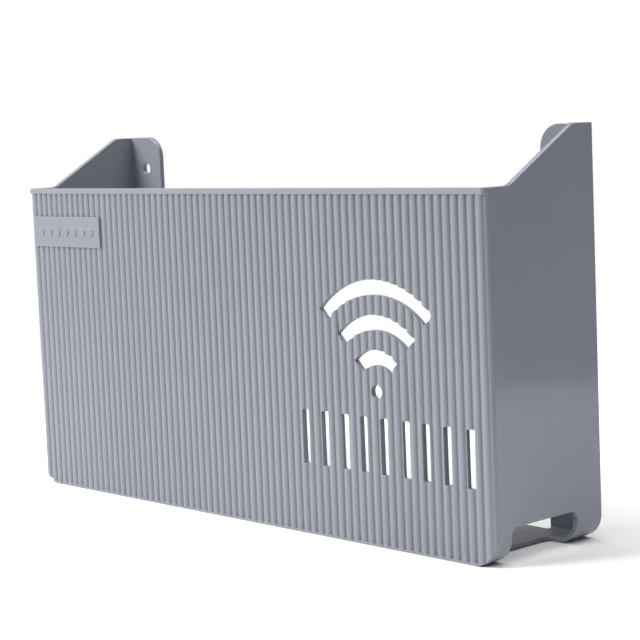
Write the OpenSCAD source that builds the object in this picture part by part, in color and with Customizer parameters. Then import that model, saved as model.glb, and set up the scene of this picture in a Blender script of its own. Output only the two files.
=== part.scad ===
// Open-topped storage box that hangs on a wall and hides a home router.
// A ribbed front panel is screwed from inside to two side pieces and a floor.
// X runs along the width, the front faces -Y, the wall plane is at +Y and Z = 0 is the underside.

/* [Box] */
// Overall width across the outside of the two sides
body_w = 333; // [260:1:420]
// Overall depth from the face of the label plate to the wall plane
body_d = 73.5; // [60:1:110]
// Height of the front panel above the underside
front_h = 162; // [132:1:220]
// Thickness of the two sides and of their rear flanges
wall = 2.8; // [2:0.1:3.6]
// Thickness of the floor
floor_t = 2; // [1.6:0.1:3.2]
// Outer radius of the two bottom corners
corner_r = 12; // [8:0.5:18]

/* [Ears and flanges] */
// Rise of the ears above the front panel
ear_rise = 25; // [16:1:40]
// Level length of the side's top edge behind the front panel
ear_front = 16; // [8:1:22]
// Level length of the ear's top at the wall
ear_top = 13.5; // [8:1:22]
// Radius that softens the two bends of the ear's slope
ear_blend = 8; // [2:1:14]
// Width of the rear flange that turns in against the wall
flange_w = 28; // [22:1:36]
// Radius of the flange's free upper corner
flange_r = 11; // [4:1:14]

/* [Wall holes] */
// Diameter of the four fixing holes
hole_d = 6; // [4:0.5:8]
// Distance from the outside of the side to a hole's centre
hole_inset = 15.5; // [14:0.5:17]
// Distance from the ear's top to the upper holes
hole_drop = 17.5; // [14:0.5:30]
// Height of the lower holes above the underside
hole_low = 32; // [24:1:60]

/* [Front panel] */
// Thickness of the front panel, ribs included
panel_t = 3; // [2.4:0.1:4]
// Height of a rib above the ground between ribs
rib_h = 1.2; // [0.5:0.1:1.4]
// Distance from one rib to the next
rib_pitch = 4.79; // [4:0.01:8]
// Width of the narrow groove between two ribs
rib_groove = 0.6; // [0.4:0.1:1.6]
// Plain width left between the outermost ribs and the panel's edges
rib_margin = 1.5; // [1.5:0.1:6]
// Radius of the panel's upright front edges
edge_r = 2.2; // [0.5:0.1:2.3]
// Height of the plain band along the top edge
rim_h = 2.8; // [2:0.1:8]
// Height of the plain lip along the bottom edge
foot_h = 1; // [0.6:0.1:4]

/* [Signal window] */
// Distance from the right side to the centre of the arcs
signal_inset = 68.2; // [62:1:100]
// Height of the centre of the arcs above the underside
signal_z = 70.8; // [66:0.1:78]
// Number of arcs
arc_count = 3; // [1:1:3]
// Inner radius of the smallest arc
arc_r = 12; // [10:0.5:14]
// Width of each arc
arc_t = 6.9; // [4:0.1:9]
// Step in radius from one arc to the next
arc_step = 15.8; // [13:0.5:17]
// Half of the angle that the arcs span
arc_half_angle = 44.5; // [30:0.5:50]
// Diameter of the dot below the arcs
dot_d = 6.6; // [4:0.5:9]

/* [Vent row] */
// Number of upright slots
slot_count = 9; // [3:1:9]
// Distance from one slot to the next
slot_pitch = 12.9; // [10:0.1:13]
// Width of a slot
slot_w = 4.5; // [4:0.1:6]
// Height of a slot
slot_h = 26; // [14:1:28]
// Height of the slots' lower ends above the underside
slot_z = 33; // [30:0.5:36]
// Distance from the right side to the last slot's centre
slot_inset = 12.7; // [12:0.1:20]

/* [Label plate] */
// Width of the plate
label_w = 59; // [30:1:80]
// Height of the plate
label_h = 16.2; // [12:0.1:20]
// Distance from the left side to the plate
label_inset = 4; // [4:0.1:20]
// Distance from the top edge to the plate
label_drop = 15; // [8:0.1:30]
// Distance that the plate stands out past the ribs
label_lift = 0.5; // [0.3:0.1:1.2]
// Number of plain raised studs along the plate
stud_count = 7; // [1:1:9]
// Distance from one stud to the next
stud_pitch = 7.4; // [5:0.1:8]
// Diameter of a stud
stud_d = 4.4; // [2:0.1:4.8]
// Height of a stud above the plate
stud_h = 0.6; // [0.2:0.1:0.8]
// Radius of the plate's two locating pins
label_pin_r = 1.5; // [1:0.1:2]
// Clearance round a locating pin
pin_gap = 0.1; // [0.05:0.05:0.3]

/* [Cable notches] */
// Distance from the front of the ribs to a notch
notch_front = 11.5; // [8:0.5:14]
// Length of a notch from front to back
notch_l = 44; // [20:0.5:60]
// Height of a notch in the side
notch_h = 15.8; // [8:0.1:22]
// Reach of a notch into the floor from the outside of the side
notch_reach = 17.8; // [13:0.1:22]
// Radius of a notch's corners
notch_r = 4; // [1:0.5:4]

/* [Floor] */
// Width of floor that belongs to each side piece
lip_w = 32; // [26:1:40]
// Width of the half-thickness lap between side piece and floor
lap_w = 8; // [6:0.5:12]
// Distance from the floor's rear edge to the wall plane
floor_back = 5; // [3:0.5:12]
// Radius of the pegs that pin the lap
peg_r = 1.6; // [1.2:0.1:2]
// Length of a ventilation slot in the floor
vent_l = 34; // [16:1:36]
// Width of a ventilation slot
vent_w = 4; // [2:0.5:6]
// Distance from one ventilation slot to the next
vent_pitch = 13; // [9:0.5:24]

/* [Screw joints] */
// Length of a boss behind the front panel
boss_h = 7; // [5:0.5:10]
// Outer radius of a boss
boss_r = 3.4; // [2.8:0.1:4.5]
// Radius of a screw's core, and of the pilot hole that it cuts into
screw_r = 1.3; // [1:0.1:1.6]
// Extra radius of the hole that a screw passes through
screw_gap = 0.35; // [0.2:0.05:0.6]
// Radius of a screw's head
head_r = 2.9; // [2.4:0.1:3.4]
// Height of a screw's head
head_h = 1.8; // [1.4:0.1:2.6]
// Side of the square tab under a screw
tab_s = 12; // [9:0.5:14]
// Thickness of a tab
tab_t = 2.4; // [1.8:0.1:3]
// Clearance where two pieces meet edge to edge
seam = 0.05; // [0.05:0.05:0.4]

/* [Hidden] */
$fn = 96;

shell_color = [0.48, 0.50, 0.55];
front_color = [0.60, 0.62, 0.67];
screw_color = [0.72, 0.73, 0.75];

half_w = body_w / 2;
total_h = front_h + ear_rise;
wall_y = body_d / 2;                                     // plane that lies against the wall
crest_y = -body_d / 2 + label_lift + stud_h;             // front of the ribs and of the rim
ground_y = crest_y + rib_h;                              // ground between the ribs
panel_y = crest_y + panel_t;                             // back of the front panel
seat_y = panel_y + boss_h;                               // ends of the bosses, where the tabs sit
shell_y = panel_y + seam;                                // front edges of the sides and floor
floor_y = wall_y - floor_back;                           // rear edge of the floor
joint_x = half_w - lip_w;                                // seam between lip and floor
overlap = 1;                                             // spare length of a cutting shape

// Ribs: as many as fit between the plain margins, centred
rib_w = rib_pitch - rib_groove;
rib_r = (rib_w * rib_w / 4 + rib_h * rib_h) / (2 * rib_h);
rib_steps = floor((body_w - 2 * rib_margin - rib_w) / rib_pitch);

// Signal window and vent row
signal_x = half_w - signal_inset;
last_slot_x = half_w - slot_inset;

// Label plate
label_x = -half_w + label_inset;
label_z = front_h - label_drop - label_h;
label_pins = [label_x + label_w / 5, label_x + label_w * 4 / 5];

// Tabs: centres as [x, z] on the right side, and along the floor
tab_x = half_w - wall - tab_s / 2;
side_tabs = [notch_h + tab_s / 2 + 3, front_h - label_drop - label_h - tab_s];
floor_tab_z = floor_t + tab_s / 2;
floor_tabs = [-(joint_x - lap_w - tab_s), 0, joint_x - lap_w - tab_s];
screw_spots = concat(
    [for (s = [-1, 1], z = side_tabs) [s * tab_x, z]],
    [for (x = floor_tabs) [x, floor_tab_z]]
);

// Pegs through the lap, and ventilation slots between the laps
peg_ys = [for (k = [1, 3, 5]) shell_y + (floor_y - shell_y) * k / 6];
vent_steps = floor(2 * (joint_x - lap_w - vent_pitch) / vent_pitch);
vent_y = (seat_y + tab_t + floor_y) / 2;
vent_len = min(vent_l, floor_y - seat_y - tab_t - 2 * vent_w);

function unit(v) = v / norm(v);

// Points of the arc of radius r that rounds the corner at b, on the way from a to c
function blend(a, b, c, r, steps = 10) =
    let (
        u = unit(a - b),
        v = unit(c - b),
        half = acos(u * v) / 2,
        centre = b + unit(u + v) * r / sin(half),
        p = b + u * r / tan(half) - centre,
        q = b + v * r / tan(half) - centre,
        start = atan2(p.y, p.x),
        turn = (p.x * q.y - p.y * q.x > 0 ? 1 : -1) * (180 - 2 * half)
    )
    [for (i = [0 : steps]) centre + r * [cos(start + turn * i / steps), sin(start + turn * i / steps)]];

// Rectangle with round corners, from the origin to [w, h]
module round_rect(w, h, r) {
    translate([r, 0]) square([w - 2 * r, h]);
    translate([0, r]) square([w, h - 2 * r]);
    for (x = [r, w - r], y = [r, h - r])
        translate([x, y]) circle(r);
}

// Slot with half-round ends, of width w and overall length l along Y, centred
module round_slot(w, l) {
    square([w, l - w], center = true);
    for (s = [-1, 1])
        translate([0, s * (l - w) / 2]) circle(w / 2);
}

// Turns an outline drawn in X and Z into a plate from y0 to y1
module plate_y(y0, y1) {
    translate([0, y1, 0]) rotate([90, 0, 0]) linear_extrude(y1 - y0) children();
}

// Turns an outline drawn in Y and Z into a block from x0 to x1
module plate_x(x0, x1) {
    translate([x0, 0, 0]) rotate([90, 0, 90]) linear_extrude(x1 - x0) children();
}

// Front view of the box below the ears: square top corners, round bottom corners
module front_outline(top) {
    translate([-half_w, corner_r]) square([body_w, top - corner_r]);
    translate([-half_w + corner_r, 0]) square([body_w - 2 * corner_r, corner_r]);
    for (s = [-1, 1])
        translate([s * (half_w - corner_r), corner_r]) circle(corner_r);
}

// Arc-shaped window of inner radius r, centred on the dot
module arc_window(r) {
    reach = 2 * (r + arc_t);
    side = reach * sin(arc_half_angle);
    rise = reach * cos(arc_half_angle);
    intersection() {
        difference() {
            circle(r + arc_t);
            circle(r);
        }
        polygon([[0, 0], [side, rise], [-side, rise]]);
    }
}

// Everything that is cut through the front panel
module windows() {
    translate([signal_x, signal_z]) {
        circle(d = dot_d);
        for (i = [0 : arc_count - 1])
            arc_window(arc_r + i * arc_step);
    }
    for (i = [0 : slot_count - 1])
        translate([last_slot_x - i * slot_pitch - slot_w / 2, slot_z])
            round_rect(slot_w, slot_h, slot_w / 5);
    for (x = label_pins)
        translate([x, label_z + label_h / 2]) circle(label_pin_r + pin_gap);
}

// Plan of a sheet from front_y to the back of the panel, with round upright front edges
module sheet_plan(front_y) {
    r = min(edge_r, panel_y - front_y);
    translate([-half_w + r, front_y]) square([body_w - 2 * r, panel_y - front_y]);
    difference() {
        for (s = [-1, 1])
            translate([s * (half_w - r), front_y + r]) circle(r);
        translate([-half_w, panel_y]) square([body_w, 2 * r]);
    }
    if (panel_y - front_y > r)
        translate([-half_w, front_y + r]) square([body_w, panel_y - front_y - r]);
}

// Plan of the ribs: one round crest each, rooted in the sheet
module rib_plan() {
    difference() {
        for (i = [0 : rib_steps])
            translate([(i - rib_steps / 2) * rib_pitch, crest_y + rib_r]) circle(rib_r);
        translate([-half_w, ground_y + overlap / 2]) square([body_w, 2 * rib_r]);
    }
}

module front_panel() {
    color(front_color) {
        difference() {
            intersection() {
                union() {
                    linear_extrude(front_h) {
                        sheet_plan(ground_y);
                        rib_plan();
                    }
                    translate([0, 0, front_h - rim_h]) linear_extrude(rim_h) sheet_plan(crest_y);
                    linear_extrude(foot_h) sheet_plan(crest_y);
                }
                plate_y(crest_y - overlap, panel_y + overlap) front_outline(front_h);
            }
            plate_y(crest_y - overlap, panel_y + overlap) windows();
            plate_y(crest_y - overlap, ground_y)
                translate([label_x, label_z]) square([label_w, label_h]);
        }
        for (spot = screw_spots)
            plate_y(panel_y, seat_y)
                translate(spot) difference() {
                    circle(boss_r);
                    circle(screw_r);
                }
    }
}

module label_plate() {
    face_y = crest_y - label_lift;
    centre_x = label_x + label_w / 2;
    centre_z = label_z + label_h / 2;
    color(front_color) {
        plate_y(face_y, ground_y)
            translate([label_x, label_z]) square([label_w, label_h]);
        for (i = [0 : stud_count - 1])
            plate_y(face_y - stud_h, face_y)
                translate([centre_x + (i - (stud_count - 1) / 2) * stud_pitch, centre_z])
                    circle(d = stud_d);
        for (x = label_pins)
            plate_y(ground_y, panel_y - seam)
                translate([x, centre_z]) circle(label_pin_r);
    }
}

// Section of a side piece across its width: wall, round bend and floor lip
module side_section(reach) {
    inner_r = corner_r - wall;
    bend_x = half_w - corner_r;
    bend_z = floor_t + inner_r;
    difference() {
        union() {
            translate([bend_x, corner_r]) circle(corner_r);
            translate([bend_x, corner_r]) square([corner_r, total_h - corner_r]);
            translate([half_w - reach, 0]) square([reach - corner_r, bend_z]);
        }
        translate([bend_x, bend_z]) circle(inner_r);
        translate([bend_x - corner_r, bend_z]) square([corner_r + inner_r, total_h]);
        translate([half_w - reach - overlap, floor_t]) square([reach - corner_r + overlap, bend_z]);
    }
}

// Side view of a side piece, with the ear's slope
module side_outline() {
    front_top = [shell_y, front_h];
    slope_foot = [crest_y + ear_front, front_h];
    slope_head = [wall_y - ear_top, total_h];
    rear_top = [wall_y, total_h];
    polygon(concat(
        [[shell_y, 0], front_top],
        blend(front_top, slope_foot, slope_head, ear_blend),
        blend(slope_foot, slope_head, rear_top, ear_blend),
        [rear_top, [wall_y, 0]]
    ));
}

module flange_outline() {
    inner_x = half_w - flange_w;
    difference() {
        translate([inner_x, 0]) square([flange_w, total_h]);
        difference() {
            translate([inner_x - overlap, total_h - flange_r]) square(flange_r + overlap);
            translate([inner_x + flange_r, total_h - flange_r]) circle(flange_r);
        }
        difference() {
            translate([half_w - corner_r, -overlap]) square(corner_r + overlap);
            translate([half_w - corner_r, corner_r]) circle(corner_r);
        }
        for (z = [hole_low, total_h - hole_drop])
            translate([half_w - hole_inset, z]) circle(d = hole_d);
    }
}

// The cut for a cable: round corners in plan and in side view
module notch() {
    front = crest_y + notch_front;
    rear = front + notch_l;
    intersection() {
        plate_x(half_w - notch_reach - overlap, half_w + overlap)
            translate([front, -notch_h]) round_rect(notch_l, 2 * notch_h, notch_r);
        translate([half_w - notch_reach, front, -overlap])
            linear_extrude(notch_h + 2 * overlap) round_rect(2 * notch_reach, rear - front, notch_r);
    }
}

// The right side piece; the left one is its mirror image
module side_piece() {
    difference() {
        union() {
            intersection() {
                plate_y(shell_y, wall_y) side_section(flange_w);
                plate_x(half_w - lip_w - overlap, half_w + overlap) side_outline();
            }
            translate([joint_x, shell_y, 0]) cube([lip_w - flange_w + overlap, floor_y - shell_y, floor_t]);
            translate([joint_x - lap_w + seam, shell_y, 0])
                cube([lap_w + overlap, floor_y - shell_y, floor_t / 2]);
            plate_y(wall_y - wall, wall_y) flange_outline();
            for (z = side_tabs)
                translate([tab_x - tab_s / 2, seat_y, z - tab_s / 2])
                    cube([tab_s + wall / 2, tab_t, tab_s]);
        }
        notch();
        for (z = side_tabs)
            plate_y(seat_y - overlap, seat_y + tab_t + overlap)
                translate([tab_x, z]) circle(screw_r + screw_gap);
        for (y = peg_ys)
            translate([joint_x - lap_w / 2, y, -overlap])
                cylinder(r = peg_r + pin_gap, h = floor_t + overlap);
    }
}

module right_side() {
    color(shell_color) side_piece();
}

module left_side() {
    color(shell_color) mirror([1, 0, 0]) side_piece();
}

module floor_panel() {
    inner_x = joint_x - lap_w;
    depth = floor_y - shell_y;
    color(shell_color) difference() {
        union() {
            translate([-inner_x, shell_y, 0]) cube([2 * inner_x, depth, floor_t]);
            translate([-joint_x + seam, shell_y, floor_t / 2])
                cube([2 * (joint_x - seam), depth, floor_t / 2]);
            for (x = floor_tabs)
                translate([x - tab_s / 2, seat_y, floor_t / 2]) cube([tab_s, tab_t, tab_s + floor_t / 2]);
            for (s = [-1, 1], y = peg_ys)
                translate([s * (joint_x - lap_w / 2), y, seam]) cylinder(r = peg_r, h = floor_t - seam);
        }
        for (x = floor_tabs)
            plate_y(seat_y - overlap, seat_y + tab_t + overlap)
                translate([x, floor_tab_z]) circle(screw_r + screw_gap);
        for (i = [0 : vent_steps])
            translate([(i - vent_steps / 2) * vent_pitch, vent_y, -overlap])
                linear_extrude(floor_t + 2 * overlap) round_slot(vent_w, vent_len);
    }
}

// One self-tapping screw, driven towards -Y, with a cross recess in its head
module screw() {
    tip_l = 2 * screw_r;
    core_l = tab_t + boss_h - tip_l - seam;
    rotate([90, 0, 0]) {
        cylinder(r = screw_r, h = core_l);
        translate([0, 0, core_l]) cylinder(r1 = screw_r, r2 = screw_r / 4, h = tip_l);
    }
    difference() {
        rotate([-90, 0, 0]) {
            cylinder(r = head_r, h = head_h / 2);
            translate([0, 0, head_h / 2]) cylinder(r1 = head_r, r2 = head_r * 0.7, h = head_h / 2);
        }
        for (turn = [0, 90])
            rotate([0, turn, 0]) translate([-head_r * 0.55, head_h * 0.4, -head_r * 0.12])
                cube([head_r * 1.1, head_h, head_r * 0.24]);
    }
}

module panel_screws() {
    color(screw_color)
        for (spot = screw_spots)
            translate([spot.x, seat_y + tab_t, spot.y]) screw();
}

front_panel();
label_plate();
left_side();
right_side();
floor_panel();
panel_screws();
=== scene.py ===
# %% [markdown]
# # A wall-mounted router box
# The box is a ribbed front panel, a small label plate, two side pieces with ears and rear flanges, a
# floor, and the screws that hold them together from inside. All of it is moulded blue-grey plastic,
# except the screws. This first cell loads the measured frame. Everything is in metres: X runs along the
# width, the front faces -Y, the wall is at +Y and Z starts at the underside. The frame's pieces have the
# right places and sizes, but their edges are knife-sharp, so the cells below give each piece the soft
# edges and the finish of a real moulding.

# %% Load the frame
import bpy
import math
from mathutils import Matrix, Vector
from mathutils.bvhtree import BVHTree


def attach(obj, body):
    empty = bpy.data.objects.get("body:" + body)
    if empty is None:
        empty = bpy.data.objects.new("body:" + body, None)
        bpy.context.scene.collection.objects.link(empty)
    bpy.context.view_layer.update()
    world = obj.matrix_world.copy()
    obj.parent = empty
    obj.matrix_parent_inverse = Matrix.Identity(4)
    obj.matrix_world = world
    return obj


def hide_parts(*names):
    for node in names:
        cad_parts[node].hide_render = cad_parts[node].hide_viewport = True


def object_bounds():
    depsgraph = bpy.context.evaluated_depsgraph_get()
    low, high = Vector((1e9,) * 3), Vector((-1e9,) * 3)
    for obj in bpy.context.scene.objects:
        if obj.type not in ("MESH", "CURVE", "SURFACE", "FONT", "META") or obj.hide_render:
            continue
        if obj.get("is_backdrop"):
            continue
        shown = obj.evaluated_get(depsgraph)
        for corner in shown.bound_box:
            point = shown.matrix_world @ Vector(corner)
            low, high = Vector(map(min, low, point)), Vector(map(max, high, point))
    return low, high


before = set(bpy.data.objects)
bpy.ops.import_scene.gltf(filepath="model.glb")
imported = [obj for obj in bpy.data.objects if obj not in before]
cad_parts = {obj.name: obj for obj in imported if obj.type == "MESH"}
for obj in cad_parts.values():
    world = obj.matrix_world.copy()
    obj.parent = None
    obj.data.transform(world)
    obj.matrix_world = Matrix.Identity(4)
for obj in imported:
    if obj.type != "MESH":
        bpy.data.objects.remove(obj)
cad_low, cad_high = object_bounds()
MM = 0.001
print("nodes:", sorted(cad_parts))
print("overall size in mm:", [round((high - low) / MM, 1) for low, high in zip(cad_low, cad_high)])

# %% [markdown]
# ## The camera
# The box is looked at from its front right corner, slightly from above. A long lens at a little under a
# metre keeps the upright edges nearly parallel, while the far end of the box still looks clearly smaller.
# The camera is described as a camera operator would: where it stands, how far it is turned, how far it
# looks down, and the slight roll of a tripod head that isn't quite level.

# %% Place the camera
BOX_MIDDLE = (0, 0, 0.1)
CAMERA_AT = (0.68348, -0.60914, 0.19253)
CAMERA_TURN = math.radians(47.24)
CAMERA_TILT = math.radians(6.15)
CAMERA_ROLL = math.radians(-2.37)
LENS_MM = 104.06
SENSOR_MM = 36

bpy.ops.object.camera_add(location=CAMERA_AT)
camera = bpy.context.object
camera.name = "studio_camera"
camera.data.lens = LENS_MM
camera.data.sensor_width = SENSOR_MM
camera.data.clip_start = 0.01
camera.data.clip_end = 50
aim = Matrix.Rotation(CAMERA_TURN, 4, "Z") @ Matrix.Rotation(math.pi / 2 - CAMERA_TILT, 4, "X")
camera.matrix_world = Matrix.Translation(CAMERA_AT) @ aim @ Matrix.Rotation(CAMERA_ROLL, 4, "Z")
bpy.context.scene.camera = camera
print("camera to box:", round((Vector(CAMERA_AT) - Vector(BOX_MIDDLE)).length, 2), "m")

# %% [markdown]
# ## Small helpers
# Operators act on whatever is selected, and loading the frame leaves its nodes selected, so every step
# starts by clearing the selection. `only` makes one object the selected and active one. `apply_modifier`
# adds a modifier, sets it and applies it, which leaves a plain finished mesh. `describe` prints what was
# made.

# %% Selection and modifier helpers
def only(obj):
    bpy.ops.object.select_all(action="DESELECT")
    obj.select_set(True)
    bpy.context.view_layer.objects.active = obj
    return obj


def apply_modifier(obj, kind, name, **settings):
    only(obj)
    modifier = obj.modifiers.new(name, kind)
    for key, value in settings.items():
        setattr(modifier, key, value)
    bpy.ops.object.modifier_apply(modifier=modifier.name)


def describe(obj):
    size = [round(length / MM, 1) for length in obj.dimensions]
    print(f"{obj.name}: {len(obj.data.polygons)} faces, {size} mm")

# %% [markdown]
# ## Soft edges
# A mould has no knife edges. Every outside edge of a plastic piece carries a small radius, and that
# radius is what catches the light and makes a plain grey box look real. It could be painted on with a
# bump, but a bump can't change the outline, so it is modelled. The frame's nodes are loose triangles: a
# copy is merged, flat triangles are joined into whole faces, and a three-step bevel runs along each edge
# that is sharper than a given angle. Where several sharp edges meet at a point, a bevel can throw a
# corner far out, so every point that strays from the sharp surface by more than half the radius is pulled
# back onto it. Smooth shading would then bend the light across the large flat faces, so the normals are
# weighted by area, which keeps flat faces flat. The frame's own node stays untouched, hidden behind its
# copy.

# %% The soft copy of a node
FLAT = math.radians(0.5)
SMOOTH_BELOW = math.radians(34)
SHARP_ABOVE = math.radians(35)
BEVEL_STEPS = 3
MERGE_WITHIN = 0.002 * MM
LARGEST_STRAY = 0.5


def hold_to_surface(piece, surface, limit):
    strays = 0
    for vertex in piece.data.vertices:
        nearest, _, _, distance = surface.find_nearest(vertex.co)
        if distance > limit:
            vertex.co = nearest
            strays += 1
    return strays


def soft_copy(node, name, radius):
    bpy.ops.object.select_all(action="DESELECT")
    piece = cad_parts[node].copy()
    piece.data = piece.data.copy()
    piece.name = name
    piece.data.name = name
    bpy.context.collection.objects.link(piece)
    piece.data.materials.clear()
    only(piece)
    bpy.ops.object.mode_set(mode="EDIT")
    bpy.ops.mesh.select_all(action="SELECT")
    bpy.ops.mesh.customdata_custom_splitnormals_clear()
    bpy.ops.mesh.remove_doubles(threshold=MERGE_WITHIN)
    bpy.ops.mesh.dissolve_limited(angle_limit=FLAT)
    bpy.ops.object.mode_set(mode="OBJECT")
    sharp_surface = BVHTree.FromObject(piece, bpy.context.evaluated_depsgraph_get())
    apply_modifier(piece, "BEVEL", "mould_radius", width=radius, segments=BEVEL_STEPS, limit_method="ANGLE",
                   angle_limit=SHARP_ABOVE, use_clamp_overlap=False)
    strays = hold_to_surface(piece, sharp_surface, LARGEST_STRAY * radius)
    bpy.ops.object.shade_smooth_by_angle(angle=SMOOTH_BELOW)
    apply_modifier(piece, "WEIGHTED_NORMAL", "flat_faces", mode="FACE_AREA", weight=100, keep_sharp=True)
    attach(piece, "root")
    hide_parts(node)
    describe(piece)
    print("   points pulled back to the surface:", strays)
    return piece

# %% [markdown]
# ## The side pieces
# Each side is one moulding: an upright wall with a rising ear, a round bend into the floor, a flange that
# turns in against the wall, and a notch for the cables. Its edges are the most handled ones, so they get
# the largest radius. The two sides are mirror images, and each is copied from its own node.

# %% Both sides
SIDE_EDGE = 0.45 * MM
left_side = soft_copy("left_side", "left_side_moulding", SIDE_EDGE)
right_side = soft_copy("right_side", "right_side_moulding", SIDE_EDGE)

# %% [markdown]
# ## The floor, the front panel and the label plate
# The floor is thinner than the sides, with ventilation slots and half-thickness laps, so its radius is
# smaller. The front panel's ribs are already round in the frame. Only the rims of its windows and its
# upper and lower bands are sharp, and a larger radius would eat into the narrow grooves. The label plate
# stands a little proud, with a row of plain studs, and its crisp edge is what sets it off from the ribs.

# %% Floor, front and label
FLOOR_EDGE = 0.25 * MM
FRONT_EDGE = 0.18 * MM
LABEL_EDGE = 0.2 * MM
floor_panel = soft_copy("floor_panel", "floor_moulding", FLOOR_EDGE)
front_panel = soft_copy("front_panel", "front_moulding", FRONT_EDGE)
label_plate = soft_copy("label_plate", "label_plate_moulding", LABEL_EDGE)

# %% [markdown]
# ## The screws
# Seven small pan-head screws are driven from inside. Their heads are rolled, not cut, so even the cross
# recess has slightly round edges.

# %% Joint screws
SCREW_EDGE = 0.08 * MM
panel_screws = soft_copy("panel_screws", "joint_screws", SCREW_EDGE)

# %% [markdown]
# ## Building blocks for materials
# A shader is a small network of nodes. Effects that several materials share, such as a moulded grain or
# worn edges, are built once as node groups with named inputs and outputs, and each material then sets its
# own values. The helpers below make a group with its sockets, add a node with its values, and do simple
# arithmetic.

# %% Node helpers
MIX_FIRST = 6
MIX_SECOND = 7
MIX_RESULT = 2


def new_group(name, inputs, outputs):
    tree = bpy.data.node_groups.new(name, "ShaderNodeTree")
    for label, kind, value in inputs:
        socket = tree.interface.new_socket(name=label, in_out="INPUT", socket_type="NodeSocket" + kind)
        socket.default_value = value
    for label, kind in outputs:
        tree.interface.new_socket(name=label, in_out="OUTPUT", socket_type="NodeSocket" + kind)
    return tree, tree.nodes.new("NodeGroupInput").outputs, tree.nodes.new("NodeGroupOutput").inputs


def feed(tree, socket, value):
    if isinstance(value, bpy.types.NodeSocket):
        tree.links.new(value, socket)
    else:
        socket.default_value = value


def add(tree, kind, values=None, **settings):
    node = tree.nodes.new(kind)
    for key, value in settings.items():
        setattr(node, key, value)
    for key, value in (values or {}).items():
        feed(tree, node.inputs[key], value)
    return node


def math_node(tree, operation, first, second=0.0, clamp=False):
    node = add(tree, "ShaderNodeMath", {0: first, 1: second}, operation=operation, use_clamp=clamp)
    return node.outputs[0]


def ramp_value(tree, value, low, high, to_low=0.0, to_high=1.0):
    values = {"Value": value, "From Min": low, "From Max": high, "To Min": to_low, "To Max": to_high}
    return add(tree, "ShaderNodeMapRange", values, interpolation_type="SMOOTHSTEP").outputs["Result"]


def mix_colour(tree, amount, first, second):
    node = add(tree, "ShaderNodeMix", {"Factor": amount}, data_type="RGBA")
    feed(tree, node.inputs[MIX_FIRST], first)
    feed(tree, node.inputs[MIX_SECOND], second)
    return node.outputs[MIX_RESULT]


def object_noise(tree, scale, detail=3.0, roughness=0.55, stretch=(1, 1, 1)):
    place = add(tree, "ShaderNodeTexCoord").outputs["Object"]
    mapped = add(tree, "ShaderNodeMapping", {"Vector": place, "Scale": stretch}).outputs["Vector"]
    values = {"Vector": mapped, "Scale": scale, "Detail": detail, "Roughness": roughness}
    return add(tree, "ShaderNodeTexNoise", values).outputs["Fac"]

# %% [markdown]
# ## Moulded grain
# The steel of a mould is spark-eroded or blasted, and the plastic copies that as a grain a few tenths of
# a millimetre across. Over it lies a much longer wave, because thick spots sink a little as they cool.
# The group gives one height for the bump and one value that varies the roughness.

# %% Grain group
PATCH_SCALE = 190.0
EVEN_SHARE = 0.5


def make_grain_group():
    inputs = [("Grain Scale", "Float", 2600.0), ("Wave Scale", "Float", 45.0), ("Wave Share", "Float", 0.5)]
    outputs = [("Height", "Float"), ("Variation", "Float")]
    tree, given, out = new_group("moulded_grain", inputs, outputs)
    grain = object_noise(tree, given["Grain Scale"], detail=3.0, roughness=0.6)
    wave = object_noise(tree, given["Wave Scale"], detail=1.5, roughness=0.4)
    keep = math_node(tree, "SUBTRACT", 1.0, given["Wave Share"])
    height = math_node(tree, "ADD", math_node(tree, "MULTIPLY", grain, keep),
                       math_node(tree, "MULTIPLY", wave, given["Wave Share"]))
    patches = object_noise(tree, PATCH_SCALE, detail=4.0, roughness=0.65)
    variation = math_node(tree, "ADD", math_node(tree, "MULTIPLY", grain, EVEN_SHARE),
                          math_node(tree, "MULTIPLY", patches, EVEN_SHARE))
    feed(tree, out["Height"], height)
    feed(tree, out["Variation"], variation)
    return tree


grain_group = make_grain_group()
print("group:", grain_group.name, [item.name for item in grain_group.interface.items_tree])

# %% [markdown]
# ## Colour drift
# Pigment never mixes quite evenly. As the melt flows up the mould it leaves long, faint clouds that are a
# touch lighter or darker, and a slightly different hue. The clouds are stretched upwards, along the flow.

# %% Drift group
FLOW_STRETCH = (1.0, 1.0, 0.35)
SPECK_SCALE = 900.0
CLOUD_RANGE = (0.15, 0.85)
SPECK_SHARE = 0.12


def make_drift_group():
    inputs = [("Light", "Color", (0.5, 0.5, 0.5, 1)), ("Dark", "Color", (0.4, 0.4, 0.4, 1)),
              ("Cloud Scale", "Float", 16.0)]
    tree, given, out = new_group("colour_drift", inputs, [("Color", "Color")])
    clouds = object_noise(tree, given["Cloud Scale"], detail=4.0, roughness=0.6, stretch=FLOW_STRETCH)
    specks = object_noise(tree, SPECK_SCALE, detail=2.0)
    broad = ramp_value(tree, clouds, 0.3, 0.7, *CLOUD_RANGE)
    fine = ramp_value(tree, specks, 0.35, 0.65, -SPECK_SHARE, SPECK_SHARE)
    amount = math_node(tree, "ADD", broad, fine, clamp=True)
    feed(tree, out["Color"], mix_colour(tree, amount, given["Dark"], given["Light"]))
    return tree


drift_group = make_drift_group()
print("group:", drift_group.name)

# %% [markdown]
# ## Rubbed edges
# Edges are touched, stacked and slid over tables, so they become a little paler and smoother than the
# faces. A Bevel node rounds the normal near each edge, and where that differs from the real normal there
# is an edge. The mask is broken up with noise, because wear is never an even line.

# %% Edge group
FACE_MATCH = 0.995
EDGE_MATCH = 0.86
WEAR_SCALE = 240.0


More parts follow.
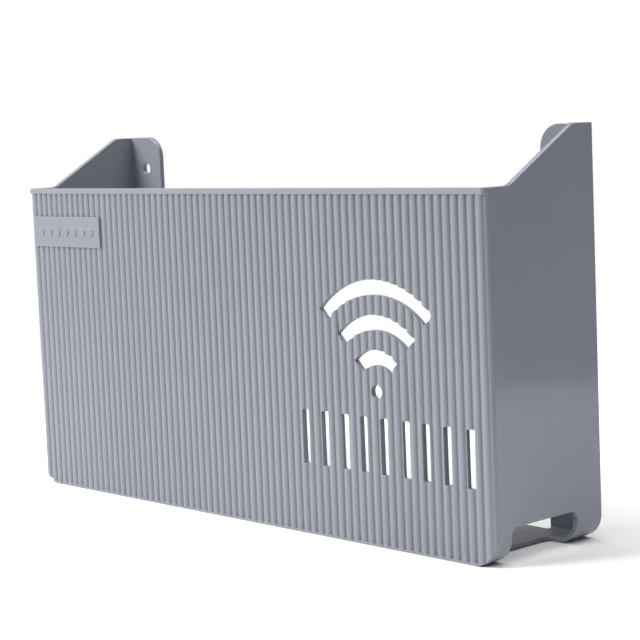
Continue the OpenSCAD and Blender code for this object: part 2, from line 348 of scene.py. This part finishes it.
def make_edge_group():
    inputs = [("Radius", "Float", 0.8 * MM), ("Patchiness", "Float", 0.6)]
    tree, given, out = new_group("rubbed_edges", inputs, [("Mask", "Float")])
    rounded = add(tree, "ShaderNodeBevel", {"Radius": given["Radius"]}, samples=4).outputs["Normal"]
    normal = add(tree, "ShaderNodeNewGeometry").outputs["Normal"]
    match = add(tree, "ShaderNodeVectorMath", {0: rounded, 1: normal}, operation="DOT_PRODUCT")
    edge = ramp_value(tree, match.outputs["Value"], FACE_MATCH, EDGE_MATCH)
    broken = ramp_value(tree, object_noise(tree, WEAR_SCALE, detail=4.0, roughness=0.7), 0.35, 0.65)
    keep = math_node(tree, "SUBTRACT", 1.0, given["Patchiness"])
    share = math_node(tree, "ADD", keep, math_node(tree, "MULTIPLY", broken, given["Patchiness"]))
    feed(tree, out["Mask"], math_node(tree, "MULTIPLY", edge, share, clamp=True))
    return tree


edge_group = make_edge_group()
print("group:", edge_group.name)

# %% [markdown]
# ## Settled dust
# A box that hangs open at the top collects a thin film on whatever faces up: the floor inside, the tops
# of the ears and the rim. The mask is the upward part of the normal, thinned out by noise.

# %% Dust group
DUST_SCALE = 420.0
SLOPE_LEAST = 0.5
SLOPE_FULL = 0.95


def make_dust_group():
    tree, given, out = new_group("settled_dust", [("Amount", "Float", 0.5)], [("Mask", "Float")])
    normal = add(tree, "ShaderNodeNewGeometry").outputs["Normal"]
    upward = add(tree, "ShaderNodeSeparateXYZ", {"Vector": normal}).outputs["Z"]
    flat = ramp_value(tree, upward, SLOPE_LEAST, SLOPE_FULL)
    thin = ramp_value(tree, object_noise(tree, DUST_SCALE, detail=5.0, roughness=0.7), 0.3, 0.75)
    feed(tree, out["Mask"], math_node(tree, "MULTIPLY", math_node(tree, "MULTIPLY", flat, thin),
                                      given["Amount"], clamp=True))
    return tree


dust_group = make_dust_group()
print("group:", dust_group.name)

# %% [markdown]
# ## One recipe for the plastics
# The front, the label plate and the sides are the same plastic from different mould faces: the front is
# satin, the label is a little more matt, with a finer grain, and the sides are nearly polished. So one
# function builds them all, and each call sets the two colours, the roughness, the grain, the bump and the
# wear. Values that are the same all over the piece, such as the index of refraction, are set on the
# shader itself.

# %% The plastic recipe
EDGE_TINT = (0.42, 0.435, 0.475, 1)
DUST_TINT = (0.52, 0.52, 0.52, 1)
DUST_AMOUNT = 0.12
DUST_ROUGHNESS = 0.4
PLASTIC_IOR = 1.52


def place_group(tree, group, values):
    node = tree.nodes.new("ShaderNodeGroup")
    node.node_tree = group
    for key, value in values.items():
        feed(tree, node.inputs[key], value)
    return node.outputs


def moulded_plastic(name, light, dark, roughness, grain, bump_mm, edge_share):
    material = bpy.data.materials.new(name)
    material.use_nodes = True
    tree = material.node_tree
    shader = tree.nodes["Principled BSDF"]
    texture = place_group(tree, grain_group, grain)
    colour = place_group(tree, drift_group, {"Light": (*light, 1), "Dark": (*dark, 1)})["Color"]
    edge = math_node(tree, "MULTIPLY", place_group(tree, edge_group, {})["Mask"], edge_share)
    dust = place_group(tree, dust_group, {"Amount": DUST_AMOUNT})["Mask"]
    worn = mix_colour(tree, edge, colour, EDGE_TINT)
    feed(tree, shader.inputs["Base Color"], mix_colour(tree, dust, worn, DUST_TINT))
    matt = ramp_value(tree, texture["Variation"], 0.3, 0.7, *roughness)
    dusty = math_node(tree, "MULTIPLY", dust, DUST_ROUGHNESS)
    feed(tree, shader.inputs["Roughness"], math_node(tree, "ADD", matt, dusty))
    relief = {"Height": texture["Height"], "Strength": 1.0, "Distance": bump_mm * MM}
    bump = add(tree, "ShaderNodeBump", relief)
    feed(tree, shader.inputs["Normal"], bump.outputs["Normal"])
    shader.inputs["IOR"].default_value = PLASTIC_IOR
    return material

# %% [markdown]
# ## The four finishes
# The colours are linear values of a cool blue-grey. The zinc of the screws is a metal, so its colour sits
# in the reflection; fine turning marks come from noise that is stretched along one axis.

# %% Plastics and zinc
front_satin = moulded_plastic(
    "front_satin", light=(0.222, 0.235, 0.266), dark=(0.204, 0.216, 0.246), roughness=(0.40, 0.52),
    grain={"Grain Scale": 2400.0, "Wave Scale": 60.0, "Wave Share": 0.3}, bump_mm=0.02, edge_share=0.45)
label_satin = moulded_plastic(
    "label_satin", light=(0.208, 0.219, 0.246), dark=(0.196, 0.207, 0.234), roughness=(0.46, 0.56),
    grain={"Grain Scale": 3000.0, "Wave Scale": 80.0, "Wave Share": 0.2}, bump_mm=0.012, edge_share=0.5)
shell_gloss = moulded_plastic(
    "shell_gloss", light=(0.222, 0.235, 0.273), dark=(0.204, 0.217, 0.253), roughness=(0.07, 0.13),
    grain={"Grain Scale": 1500.0, "Wave Scale": 38.0, "Wave Share": 0.75}, bump_mm=0.006, edge_share=0.5)
ZINC_DARK = (0.55, 0.56, 0.57, 1)
ZINC_LIGHT = (0.68, 0.68, 0.66, 1)
ZINC_EDGE = (0.80, 0.80, 0.79, 1)


def zinc_plating(name):
    material = bpy.data.materials.new(name)
    material.use_nodes = True
    tree = material.node_tree
    shader = tree.nodes["Principled BSDF"]
    shader.inputs["Metallic"].default_value = 1.0
    turning = object_noise(tree, 2200.0, detail=3.0, stretch=(1.0, 6.0, 1.0))
    bloom = object_noise(tree, 420.0, detail=4.0, roughness=0.7)
    edge = place_group(tree, edge_group, {"Radius": 0.3 * MM, "Patchiness": 0.4})["Mask"]
    plated = mix_colour(tree, ramp_value(tree, bloom, 0.35, 0.65), ZINC_DARK, ZINC_LIGHT)
    feed(tree, shader.inputs["Base Color"], mix_colour(tree, edge, plated, ZINC_EDGE))
    feed(tree, shader.inputs["Roughness"], ramp_value(tree, turning, 0.3, 0.7, 0.26, 0.44))
    bump = add(tree, "ShaderNodeBump", {"Height": turning, "Strength": 1.0, "Distance": 0.01 * MM})
    feed(tree, shader.inputs["Normal"], bump.outputs["Normal"])
    return material


screw_zinc = zinc_plating("screw_zinc")

# %% [markdown]
# ## Finish each piece
# Each piece takes its material. The list also names a slot for each finish, which nothing in the script
# reads.

# %% Assign the finishes
FINISHES = [
    (front_panel, front_satin, "front_plastic"),
    (label_plate, label_satin, "front_plastic"),
    (left_side, shell_gloss, "shell_plastic"),
    (right_side, shell_gloss, "shell_plastic"),
    (floor_panel, shell_gloss, "shell_plastic"),
    (panel_screws, screw_zinc, "screw_steel"),
]
for piece, material, slot in FINISHES:
    piece.data.materials.append(material)
    print(piece.name, "->", material.name)

# %% [markdown]
# ## The floor of the studio
# The box stands on a plain pale sheet. The sheet isn't part of the object, so it is marked as stage. It
# is a round disc of paper-white board: a round edge is less noticeable than a straight one, and the white
# throws a soft light up onto the side pieces.

# %% Studio floor
FLOOR_RADIUS = 0.63
BOARD_THICKNESS = 4 * MM
BOARD_GAP = 0.2 * MM
BOARD_EDGE = 1 * MM
PAPER_DARK = (0.90, 0.90, 0.90, 1)
PAPER_LIGHT = (0.93, 0.93, 0.93, 1)
bpy.ops.object.select_all(action="DESELECT")
bpy.ops.mesh.primitive_cylinder_add(vertices=128, radius=FLOOR_RADIUS, depth=BOARD_THICKNESS,
                                    location=(0, 0, -BOARD_THICKNESS / 2 - BOARD_GAP))
board = bpy.context.object
board.name = "studio_board"
bpy.ops.object.transform_apply(location=True, rotation=True, scale=True)
apply_modifier(board, "BEVEL", "board_edge", width=BOARD_EDGE, segments=2, limit_method="ANGLE")
board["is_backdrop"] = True


def paper_white():
    material = bpy.data.materials.new("paper_white")
    material.use_nodes = True
    tree = material.node_tree
    shader = tree.nodes["Principled BSDF"]
    fibres = object_noise(tree, 30.0, detail=5.0)
    colour = mix_colour(tree, fibres, PAPER_DARK, PAPER_LIGHT)
    feed(tree, shader.inputs["Base Color"], colour)
    shader.inputs["Roughness"].default_value = 0.9
    shader.inputs["Specular IOR Level"].default_value = 0.1
    return material


board.data.materials.append(paper_white())
describe(board)

# %% [markdown]
# ## Soft light
# A lamp stands in front, high and nearer to the left end, so each rib is brightest along its crest and
# the ribs on the far right get less light. A larger lamp hangs overhead like a soft ceiling, whitens the
# floor and draws the thin bright line along the rim. An even white room fills the shadows. The camera
# sees that room as pure white, while the box is lit by a dimmer one, which the Light Path node tells
# apart.

# %% Lamps and room
def soft_lamp(name, at, aim_at, size, watts):
    bpy.ops.object.light_add(type="AREA", location=at)
    lamp = bpy.context.object
    lamp.name = name
    lamp.data.size = size
    lamp.data.energy = watts
    lamp.rotation_euler = (Vector(aim_at) - Vector(at)).to_track_quat("-Z", "Y").to_euler()
    return lamp


soft_lamp("key_lamp", at=(-0.60, -0.88, 0.85), aim_at=(0, 0, 0.08), size=0.7, watts=24)
soft_lamp("ceiling_lamp", at=(0.2, 0.1, 1.5), aim_at=(0, 0, 0), size=2.4, watts=34)

ROOM_LIGHT = 0.18
WHITE = (1, 1, 1, 1)
room = bpy.data.worlds.new("white_room")
bpy.context.scene.world = room
room.use_nodes = True
sky = room.node_tree
sky.nodes.clear()
dim = add(sky, "ShaderNodeBackground", {"Color": WHITE, "Strength": ROOM_LIGHT})
white = add(sky, "ShaderNodeBackground", {"Color": WHITE, "Strength": 1.0})
seen = add(sky, "ShaderNodeLightPath").outputs["Is Camera Ray"]
either = add(sky, "ShaderNodeMixShader", {0: seen, 1: dim.outputs[0], 2: white.outputs[0]})
add(sky, "ShaderNodeOutputWorld", {"Surface": either.outputs[0]})
bpy.context.scene.view_settings.view_transform = "Standard"

# %% [markdown]
# ## Check the size
# Soft edges should hardly change the overall size, so the frame's box and the finished box are
# measured, and the largest difference between them is printed.

# %% Sizes
visual_low, visual_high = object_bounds()
gaps = [abs(a - b) for a, b in zip([*cad_low, *cad_high], [*visual_low, *visual_high])]
print("largest difference:", round(max(gaps) / MM, 3), "mm")
